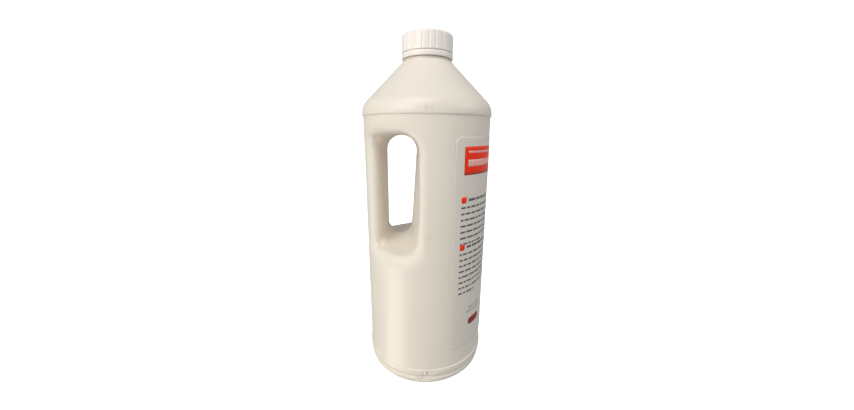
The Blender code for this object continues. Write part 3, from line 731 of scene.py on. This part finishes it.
def make_hole_flash(material):
    """The thin edge left where the two halves of the mould pinch the hole."""
    spots, inward = hole_outline()
    path = np.stack([spots[:, 0], np.zeros(len(spots)), spots[:, 1]], 1)
    outward = -np.stack([inward[:, 0], np.zeros(len(spots)), inward[:, 1]], 1)
    sideways = np.tile([0.0, 1.0, 0.0], (len(spots), 1))
    swept("hole_flash", path, outward, sideways, FLASH_SECTION, material, closed=True)


def make_seams(material):
    """The mould's parting line, a fine ridge down both sides of the bottle outside the label."""
    outline = [p for p in bottle_profile() if p[0] > CONE_TOP_RADIUS + 0.4 * MM and p[1] < CONE_TOP]
    outline = outline[: next(i for i, p in enumerate(outline) if p[1] < 0.8 * MM)]
    runs = [("seam_grip_side", -1, outline)]
    runs.append(("seam_over_label", 1, [p for p in outline if p[1] > LABEL_TOP + 0.6 * MM]))
    runs.append(("seam_under_label", 1, [p for p in outline if p[1] < LABEL_FOOT - 0.6 * MM]))
    for name, side, points in runs:
        path = np.array([(side * min(r, SEAM_REACH), 0.0, z) for r, z in points])
        slope = np.gradient(path, axis=0)
        outward = np.stack([side * -slope[:, 2], np.zeros(len(path)), side * slope[:, 0]], 1)
        outward /= np.linalg.norm(outward, axis=1)[:, None]
        swept(name, path, outward, np.tile([0.0, 1.0, 0.0], (len(path), 1)), SEAM_SECTION, material)


def slab_faces(across, up):
    """Faces of a slab: two grids of points with a wall round their edge."""
    wide, half = across + 1, (across + 1) * (up + 1)
    faces = []
    for i in range(up):
        for j in range(across):
            a = i * wide + j
            faces.append((a, a + 1, a + wide + 1, a + wide))
            faces.append((half + a, half + a + wide, half + a + wide + 1, half + a + 1))
    rim = list(range(wide)) + [i * wide + across for i in range(1, up + 1)]
    rim += [up * wide + j for j in range(across - 1, -1, -1)] + [i * wide for i in range(up - 1, 0, -1)]
    for a, b in zip(rim, rim[1:] + rim[:1]):
        faces.append((a, half + a, half + b, b))
    return faces


def raised_bar(name, angle, z, radius, size, material):
    """A small moulded bar with rounded edges on the bottle's round side."""
    width, height, rise = size
    across, up = 8, 6
    rows = []
    for top in (1, 0):
        for i in range(up + 1):
            v = 2 * i / up - 1
            for j in range(across + 1):
                u = 2 * j / across - 1
                crown = (1 - u**6) * (1 - v**4)
                r = radius + (rise * crown - 0.05 * MM if top else -MARK_SINK)
                turn = angle + u * width / 2 / radius
                rows.append((r * math.cos(turn), r * math.sin(turn), z + v * height / 2))
    bar = new_object(name, rows, slab_faces(across, up), material)
    mesh_normals_out(bar)
    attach(bar, "bottle")


def make_mould_marks(material):
    """Two short level bars beside the hole's foot and two upright pips on the shoulder's edge."""
    for i in (0, 1):
        raised_bar(f"mark_low_{i + 1}", BAR_ANGLE, BAR_HEIGHTS[i], PANEL_RADIUS, BAR_SIZE, material)
        raised_bar(f"mark_high_{i + 1}", PIP_ANGLES[i], PIP_HEIGHT, PIP_RADIUS, PIP_SIZE, material)


# Cap, band and liner

def lathe_faces(rows, columns, closed_rows=False):
    faces = []
    for i in range(rows if closed_rows else rows - 1):
        k = (i + 1) % rows
        for j in range(columns):
            m = (j + 1) % columns
            faces.append((i * columns + j, k * columns + j, k * columns + m, i * columns + m))
    return faces


def cap_profile():
    """Cap's section (r, z, groove share), from under its top, round its lower edge, to its middle."""
    roof = CAP_TOP - CAP_TOP_THICKNESS
    inner = [(2.0 * MM, roof, 0), (CAP_BORE - 0.6 * MM, roof, 0), (CAP_BORE - 0.1 * MM, roof - 0.1 * MM, 0)]
    inner += [(CAP_BORE, roof - 0.6 * MM - CAP_THREAD_LENGTH * i / 36, -1) for i in range(37)]
    inner += [(CAP_BORE + 0.3 * MM, CAP_FOOT, 0), (CAP_RADIUS - 0.5 * MM, CAP_FOOT, 0)]
    side = [(CAP_RADIUS - 0.15 * MM, CAP_FOOT + 0.12 * MM, 0), (CAP_RADIUS, CAP_FOOT + 0.35 * MM, 0)]
    side += [(CAP_RADIUS, CAP_FOOT + 0.6 * MM, 0), (CAP_RADIUS, CAP_FOOT + 0.8 * MM, 1)]
    side += [(CAP_RADIUS, CAP_FOOT + 3.5 * MM, 1), (CAP_RADIUS, CAP_TOP - CAP_EDGE_ROUND - 1.5 * MM, 1)]
    centre = (CAP_RADIUS - CAP_EDGE_ROUND, CAP_TOP - CAP_EDGE_ROUND)
    edge = []
    for r, z in arc(centre, CAP_EDGE_ROUND, 0.0, math.pi / 2, 9):
        edge.append((r, z, max(0.0, 1.0 - ((z - centre[1]) / CAP_EDGE_ROUND) ** 3 * 1.2)))
    dish = [(CAP_RADIUS - CAP_EDGE_ROUND - 0.8 * MM, CAP_TOP, 0)]
    dish += [(0.62 * CAP_RADIUS, CAP_TOP - 0.05 * MM, 0), (0.58 * CAP_RADIUS, CAP_TOP - 0.25 * MM, 0)]
    dish += [(1.6 * MM, CAP_TOP - 0.3 * MM, 0), (1.3 * MM, CAP_TOP - 0.1 * MM, 0)]
    return inner + side + edge + dish


def make_cap(material):
    profile = cap_profile()
    columns = RIB_COUNT * 20
    theta = np.linspace(-math.pi, math.pi, columns, endpoint=False)
    pitch = math.tau / RIB_COUNT
    offset = (theta - RIB_TURN + pitch / 2) % pitch - pitch / 2
    groove = np.clip(1.0 - np.abs(offset) * CAP_RADIUS / RIB_HALF_WIDTH, 0, 1)
    groove = RIB_DEPTH * ease(groove * 1.15)
    rows = []
    for r, z, share in profile:
        radius = r - groove * max(share, 0)
        if share < 0:
            radius = radius - thread_rise(theta, z, CAP_THREAD_START, CAP_THREAD_FIRST, CAP_THREAD_RISE)
        rows.append(np.stack([radius * np.cos(theta), radius * np.sin(theta), np.full(columns, z)], 1))
    vertices = np.vstack(rows)
    faces = lathe_faces(len(rows), columns)
    first, last = len(vertices), len(vertices) + 1
    vertices = np.vstack([vertices, [(0, 0, profile[0][1])], [(0, 0, profile[-1][1])]])
    end = (len(rows) - 1) * columns
    for j in range(columns):
        k = (j + 1) % columns
        faces.append((first, j, k))
        faces.append((end + k, end + j, last))
    faces = [f[::-1] for f in faces]
    cap = new_object("cap_shell", vertices, faces, material)
    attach(cap, "cap")
    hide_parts("cap")


def make_band(material):
    inner = BAND_RADIUS - BAND_WALL
    profile = rounded(
        [
            (inner, BAND_TOP),
            (BAND_RADIUS - 0.35 * MM, BAND_TOP),
            (BAND_RADIUS - 0.1 * MM, BAND_TOP - 0.05 * MM),
            (BAND_RADIUS - 0.1 * MM, BAND_TOP - 0.5 * MM),
            (BAND_RADIUS, BAND_TOP - 0.7 * MM),
            (BAND_RADIUS, BAND_FOOT + 0.5 * MM),
            (BAND_RADIUS - 0.1 * MM, BAND_FOOT + 0.05 * MM),
            (BAND_RADIUS - 0.5 * MM, BAND_FOOT),
            (BAND_LIP + 0.2 * MM, BAND_FOOT),
            (BAND_LIP, BAND_FOOT + 0.1 * MM),
            (BAND_LIP, BAND_FOOT + 0.75 * MM),
            (BEAD_RADIUS + 0.3 * MM, BAND_FOOT + 0.9 * MM),
            (inner, BAND_FOOT + 1.8 * MM),
        ],
        1,
    )
    columns = 240
    theta = np.linspace(-math.pi, math.pi, columns, endpoint=False)
    rows = [np.stack([r * np.cos(theta), r * np.sin(theta), np.full(columns, z)], 1) for r, z in profile]
    band = new_object("band_ring", np.vstack(rows), lathe_faces(len(rows), columns, True), material)
    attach(band, "bottle")
    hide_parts("tamper_band")


# Label

def label_wrinkle(u, v):
    """Height of the film's creases at distances round and heights in metres."""
    height = np.zeros(np.broadcast(u, v).shape)
    for crease in CREASES:
        u0, v0, u1, v1, rise, width = (n * MM for n in crease)
        share = np.clip((v - v0) / (v1 - v0), 0, 1)
        centre = u0 + (u1 - u0) * share
        ends = ease(share * 4) * ease((1 - share) * 4)
        height = height + rise * ends * np.exp(-(((u - centre) / width) ** 2))
    return height


def on_label(u, v, lift):
    """Place over the label for distances round and heights in metres."""
    angle = u / PANEL_RADIUS
    radius = PANEL_RADIUS + LABEL_LIFT + lift + label_wrinkle(u, v)
    return np.stack([radius * np.cos(angle), radius * np.sin(angle), v + 0 * u], -1)


def label_places(columns, rows):
    """Distances round and heights of the label's grid, with rounded corners."""
    corner = LABEL_CORNER / PANEL_RADIUS
    straight = LABEL_HALF_ANGLE - corner
    bend = [corner * math.sin(math.radians(a)) for a in range(10, 91, 10)]
    angles = [-straight - a for a in reversed(bend)]
    angles += [-straight + 2 * straight * i / columns for i in range(columns + 1)]
    angles += [straight + a for a in bend]
    u = np.array(angles) * PANEL_RADIUS
    beyond = np.maximum(0.0, np.abs(u) - straight * PANEL_RADIUS)
    cut_back = LABEL_CORNER - np.sqrt(np.maximum(0.0, LABEL_CORNER**2 - beyond**2))
    share = np.linspace(0, 1, rows + 1)
    v = LABEL_FOOT + cut_back[:, None] + (LABEL_TOP - LABEL_FOOT - 2 * cut_back[:, None]) * share
    return np.repeat(u[:, None], rows + 1, 1), v


def make_label(material):
    rows = 120
    u, v = label_places(190, rows)
    vertices = on_label(u, v, 0.0).reshape(-1, 3)
    spots = np.stack([u, v], -1).reshape(-1, 2) / MM
    faces = []
    for i in range(len(u) - 1):
        for j in range(rows):
            a = i * (rows + 1) + j
            b = a + rows + 1
            faces.append((a, b, b + 1, a + 1))
    label = new_object("label_sheet", vertices, faces, material)
    layer = label.data.uv_layers.new(name="sheet")
    for loop in label.data.loops:
        layer.data[loop.index].uv = spots[loop.vertex_index]
    film = label.modifiers.new("film", "SOLIDIFY")
    film.thickness = LABEL_THICKNESS
    film.offset = 1.0
    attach(label, "bottle")
    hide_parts("front_label")


class Ink:
    """Printed shapes in one colour, given in millimetres round from the label's middle and up."""

    def __init__(self):
        self.vertices, self.faces = [], []

    def grid(self, u, v):
        """A patch over rows of points that share their count."""
        start = len(self.vertices)
        rows, columns = u.shape
        self.vertices += [tuple(p) for p in on_label(u * MM, v * MM, INK_LIFT).reshape(-1, 3)]
        for i in range(rows - 1):
            for j in range(columns - 1):
                a = start + i * columns + j
                self.faces.append((a, a + 1, a + columns + 1, a + columns))

    def block(self, left, foot, right, top, corner=0.0):
        """A rectangle with rounded corners."""
        count = max(2, math.ceil((right - left) / 0.5)) + 1
        across = np.linspace(left, right, count)
        if corner:
            bends = [corner * (1 - math.cos(math.radians(a))) for a in range(15, 91, 15)]
            rounded_ends = [*(left + b for b in bends), *(right - b for b in bends)]
            across = np.unique(np.round([*across, *rounded_ends], 4))
        past = np.maximum(0, corner - np.minimum(across - left, right - across))
        cut_back = corner - np.sqrt(np.maximum(0, corner**2 - past**2)) if corner else 0 * across
        up = max(1, math.ceil((top - foot) / 1.5))
        share = np.linspace(0, 1, up + 1)[:, None]
        v = foot + cut_back + (top - foot - 2 * cut_back) * share
        self.grid(np.tile(across, (up + 1, 1)), v)

    def ring(self, u, v, inner, outer, start=0.0, end=360.0):
        turn = np.radians(np.linspace(start, end, 97))
        radius = np.linspace(outer, inner, max(2, math.ceil((outer - inner) / 0.6)))[:, None]
        self.grid(u + radius * np.cos(turn), v + radius * np.sin(turn))

    def dashes(self, left, right, middle, height, draw, shortest=1.6, longest=6.5):
        """A line of bars of different lengths."""
        at = left
        while at < right - 1.0:
            end = min(right, at + draw.uniform(shortest, longest))
            self.block(at, middle - height / 2, end, middle + height / 2, min(0.35, height / 2.2))
            at = end + 0.9

    def finish(self, name, material):
        made = new_object(name, self.vertices, self.faces, material)
        layer = made.modifiers.new("layer", "SOLIDIFY")
        layer.thickness = INK_THICKNESS
        layer.offset = -1.0
        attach(made, "bottle")


def print_columns(bright, fine, draw):
    """Two blocks of lines at the left, each headed by a square."""
    for top, lines, last in PRINT_BLOCKS:
        bright.block(PRINT_LEFT, top - 2.1, -42.4, top + 2.1, 1.2)
        fine.dashes(-40.8, PRINT_RIGHT, top - 0.2, 1.7, draw, 4.0, 9.0)
        for line in range(1, lines + 1):
            right = last if line == lines else PRINT_RIGHT
            fine.dashes(PRINT_LEFT, right, top - 0.9 - PRINT_STEP * line, 1.3, draw)


def print_edge_highlight(light):
    """A thin pale line round the label's edge, a painted highlight for the light that the film's edge
    catches.
    """
    edge, wide = 0.25, 0.5
    half, low, high = 52.0 - edge, LABEL_FOOT / MM + edge, LABEL_TOP / MM - edge
    bend = LABEL_CORNER / MM - edge
    light.block(-half + bend, high - wide, half - bend, high)
    light.block(-half + bend, low, half - bend, low + wide)
    light.block(-half, low + bend, -half + wide, high - bend)
    light.block(half - wide, low + bend, half, high - bend)
    for u, v, start in ((half, high, 0), (-half, high, 90), (-half, low, 180), (half, low, 270)):
        centre_u, centre_v = u - math.copysign(bend, u), v - (bend if v == high else -bend)
        light.ring(centre_u, centre_v, bend - wide, bend, start, start + 90)


def make_print(orange, deep_red, dark, pale):
    """A plain layout of bands, bars, rings and lines of dashes in the label's colours, with a pale line round
    the edge that is a painted highlight.
    """
    draw = random.Random(7)
    bright, shade, fine, light = Ink(), Ink(), Ink(), Ink()

    shade.block(-45.2, 151.2, 45.2, 152.0)
    shade.block(-45.2, 152.0, -44.75, 168.6)
    bright.block(-44.7, 152.05, 45.2, 168.7)
    light.dashes(-42.0, 42.0, 165.4, 1.3, draw, 2.0, 5.0)
    light.dashes(-42.0, 42.0, 158.6, 4.2, draw, 5.0, 11.0)
    print_columns(bright, fine, draw)

    shade.block(-36.0, 41.5, -22.0, 47.0, 2.7)
    fine.dashes(-38.5, -22.0, 53.0, 0.8, draw, 1.2, 3.0)
    fine.dashes(-36.0, -22.0, 56.0, 0.8, draw, 1.2, 3.0)

    for ink, inner, outer in ((bright, 13.5, 19.0), (shade, 8.0, 10.5), (light, 0.02, 6.0)):
        ink.ring(14.0, 118.0, inner, outer)
    shade.block(-4.0, 82.0, 32.0, 87.5, 1.2)
    for line in range(5):
        fine.dashes(-4.0, 44.0 if line < 4 else 20.0, 76.0 - PRINT_STEP * line, 1.3, draw)
    bright.block(-14.0, 34.0, 45.2, 40.0)
    fine.dashes(-14.0, 45.2, 47.5, 1.7, draw, 4.0, 9.0)
    # painted highlight: a pale line round the label's edge
    print_edge_highlight(light)

    bright.finish("print_orange", orange)
    shade.finish("print_deep_red", deep_red)
    fine.finish("print_dark", dark)
    # the pale print, together with the painted highlight round the label's edge
    light.finish("print_pale_and_edge_highlight", pale)


# Materials

def plain_material(name, colour, roughness):
    made = bpy.data.materials.new(name)
    made.use_nodes = True
    shader = made.node_tree.nodes["Principled BSDF"]
    shader.inputs["Base Color"].default_value = (*colour, 1.0)
    shader.inputs["Roughness"].default_value = roughness
    return made


def textured(name, colour, other, roughness, spread, scale, grain_scale, grain_depth):
    """Plastic, film or ink whose colour and gloss wander a little, with a fine grain."""
    made = plain_material(name, colour, roughness)
    tree = made.node_tree
    shader = tree.nodes["Principled BSDF"]
    place = tree.nodes.new("ShaderNodeTexCoord")

    wander = tree.nodes.new("ShaderNodeTexNoise")
    wander.inputs["Scale"].default_value = scale
    wander.inputs["Detail"].default_value = 3.0
    tree.links.new(place.outputs["Object"], wander.inputs["Vector"])
    tint = tree.nodes.new("ShaderNodeValToRGB")
    tint.color_ramp.elements[0].position, tint.color_ramp.elements[1].position = 0.3, 0.7
    tint.color_ramp.elements[0].color = (*colour, 1.0)
    tint.color_ramp.elements[1].color = (*other, 1.0)
    tree.links.new(wander.outputs["Fac"], tint.inputs["Fac"])
    tree.links.new(tint.outputs["Color"], shader.inputs["Base Color"])

    gloss = tree.nodes.new("ShaderNodeMapRange")
    gloss.inputs["To Min"].default_value = roughness - spread
    gloss.inputs["To Max"].default_value = roughness + spread
    tree.links.new(wander.outputs["Fac"], gloss.inputs["Value"])
    tree.links.new(gloss.outputs["Result"], shader.inputs["Roughness"])

    grain = tree.nodes.new("ShaderNodeTexNoise")
    grain.inputs["Scale"].default_value = grain_scale
    grain.inputs["Detail"].default_value = 2.0
    bump = tree.nodes.new("ShaderNodeBump")
    bump.inputs["Distance"].default_value = grain_depth
    tree.links.new(place.outputs["Object"], grain.inputs["Vector"])
    tree.links.new(grain.outputs["Fac"], bump.inputs["Height"])
    tree.links.new(bump.outputs["Normal"], shader.inputs["Normal"])
    return made


def ink_material(name, colour, other):
    made = textured(name, colour, other, 0.35, 0.04, 40.0, 700.0, 0.000005)
    made.node_tree.nodes["Principled BSDF"].inputs["Specular IOR Level"].default_value = 0.2
    return made


def bottle_material():
    made = textured("hdpe_ivory", (0.80, 0.725, 0.625), (0.81, 0.74, 0.645), 0.32, 0.05, 22.0, 900.0, 0.00002)
    shader = made.node_tree.nodes["Principled BSDF"]
    shader.inputs["Subsurface Weight"].default_value = 0.2
    shader.inputs["Subsurface Radius"].default_value = (1.0, 0.75, 0.5)
    shader.inputs["Subsurface Scale"].default_value = 0.003
    return made


# Surroundings

def make_floor():
    """A pale round floor that rises into a dome, seen by the camera and lighting nothing."""
    outline = [(0.0, 0.0), (2.0, 0.0), *arc((2.0, 1.0), 1.0, -math.pi / 2, 0.0, 12), (3.0, 2.0)]
    outline += arc((0.0, 2.0), 3.0, 0.0, math.pi / 2, 16)[1:-1]
    columns = 64
    theta = np.linspace(0, math.tau, columns, endpoint=False)
    rows = [np.stack([r * np.cos(theta), r * np.sin(theta), np.full(columns, z)], 1) for r, z in outline[1:]]
    vertices = np.vstack([*rows, [(0, 0, 0)], [(0, 0, 5.0)]])
    faces = lathe_faces(len(rows), columns)
    last = (len(rows) - 1) * columns
    for j in range(columns):
        k = (j + 1) % columns
        faces += [(len(vertices) - 2, j, k), (last + j, len(vertices) - 1, last + k)]
    material = plain_material("floor_white", (0.8, 0.8, 0.8), 0.9)
    shader = material.node_tree.nodes["Principled BSDF"]
    shader.inputs["Emission Color"].default_value = (1.0, 1.0, 1.0, 1.0)
    shader.inputs["Emission Strength"].default_value = 1.0
    floor = new_object("floor", vertices, faces, material)
    floor.visible_diffuse = floor.visible_glossy = floor.visible_transmission = floor.visible_shadow = False


def from_middle(azimuth, elevation):
    """A place one metre from the bottle's middle, at an angle right of the front and an angle up."""
    a, e = math.radians(azimuth), math.radians(elevation)
    return (math.cos(e) * math.sin(a), -math.cos(e) * math.cos(a), MIDDLE_HEIGHT + math.sin(e))


def area_light(name, place, power, colour):
    """A square light that faces the bottle's middle and isn't seen."""
    light = bpy.data.lights.new(name, "AREA")
    light.shape = "RECTANGLE"
    light.size = light.size_y = LIGHT_SIZE
    light.energy = power
    light.color = colour
    obj = bpy.data.objects.new(name, light)
    bpy.context.scene.collection.objects.link(obj)
    obj.location = place
    toward = Vector((0.0, 0.0, MIDDLE_HEIGHT)) - Vector(place)
    obj.rotation_euler = toward.to_track_quat("-Z", "Y").to_euler()
    obj.visible_camera = False


def make_lights():
    for name, azimuth, elevation, power, colour in LIGHTS:
        area_light(name, from_middle(azimuth, elevation), power, colour)
    world = bpy.data.worlds.new("studio")
    world.use_nodes = True
    back = world.node_tree.nodes["Background"]
    back.inputs["Color"].default_value = (1.0, 1.0, 1.0, 1.0)
    back.inputs["Strength"].default_value = WORLD_STRENGTH
    bpy.context.scene.world = world
    bpy.context.scene.view_settings.view_transform = "Standard"


def make_camera():
    data = bpy.data.cameras.new("camera")
    data.lens = LENS
    data.sensor_width = 36.0
    data.clip_start = 0.01
    camera = bpy.data.objects.new("camera", data)
    bpy.context.scene.collection.objects.link(camera)
    right = Vector((1.0, 0.0, 0.0))
    ahead = Vector((0.0, math.cos(CAMERA_PITCH), -math.sin(CAMERA_PITCH)))
    down = Vector((0.0, -math.sin(CAMERA_PITCH), -math.cos(CAMERA_PITCH)))
    c, s = math.cos(CAMERA_ROLL), math.sin(CAMERA_ROLL)
    tilted_right = right * c + down * s
    tilted_down = down * c - right * s
    turn = Matrix((tilted_right, -tilted_down, -ahead)).transposed()
    camera.matrix_world = Matrix.Translation(CAMERA_PLACE) @ turn.to_4x4()
    bpy.context.scene.camera = camera


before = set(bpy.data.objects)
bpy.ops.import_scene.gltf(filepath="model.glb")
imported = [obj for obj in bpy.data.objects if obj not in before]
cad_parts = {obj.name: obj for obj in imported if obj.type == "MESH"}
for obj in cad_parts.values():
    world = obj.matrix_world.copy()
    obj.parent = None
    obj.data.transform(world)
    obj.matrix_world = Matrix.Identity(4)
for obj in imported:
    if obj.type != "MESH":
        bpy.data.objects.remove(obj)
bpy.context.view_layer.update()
make_camera()
plastic = bottle_material()
make_bottle(plastic)
make_hole_flash(plastic)
make_seams(plastic)
make_mould_marks(plastic)
white = textured("pp_white", (0.87, 0.81, 0.755), (0.875, 0.82, 0.77), 0.34, 0.04, 30.0, 1200.0, 0.00001)
make_cap(white)
make_band(white)
make_label(textured("film_pale", (0.74, 0.68, 0.60), (0.75, 0.69, 0.615), 0.18, 0.05, 18.0, 500.0, 0.00001))
make_print(
    ink_material("ink_orange", (0.93, 0.03, 0.003), (0.95, 0.04, 0.005)),
    ink_material("ink_deep_red", (0.30, 0.012, 0.012), (0.34, 0.016, 0.014)),
    ink_material("ink_dark", (0.12, 0.12, 0.135), (0.14, 0.14, 0.155)),
    # pale ink for the print, also used for the painted highlight round the label's edge
    ink_material("ink_pale_and_edge_highlight", (0.84, 0.81, 0.77), (0.86, 0.83, 0.79)),
)
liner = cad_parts["cap_liner"]
liner.data.materials.clear()
liner.data.materials.append(
    textured("liner_foam", (0.85, 0.85, 0.83), (0.80, 0.80, 0.79), 0.85, 0.05, 300.0, 2500.0, 0.00005)
)
make_floor()
make_lights()
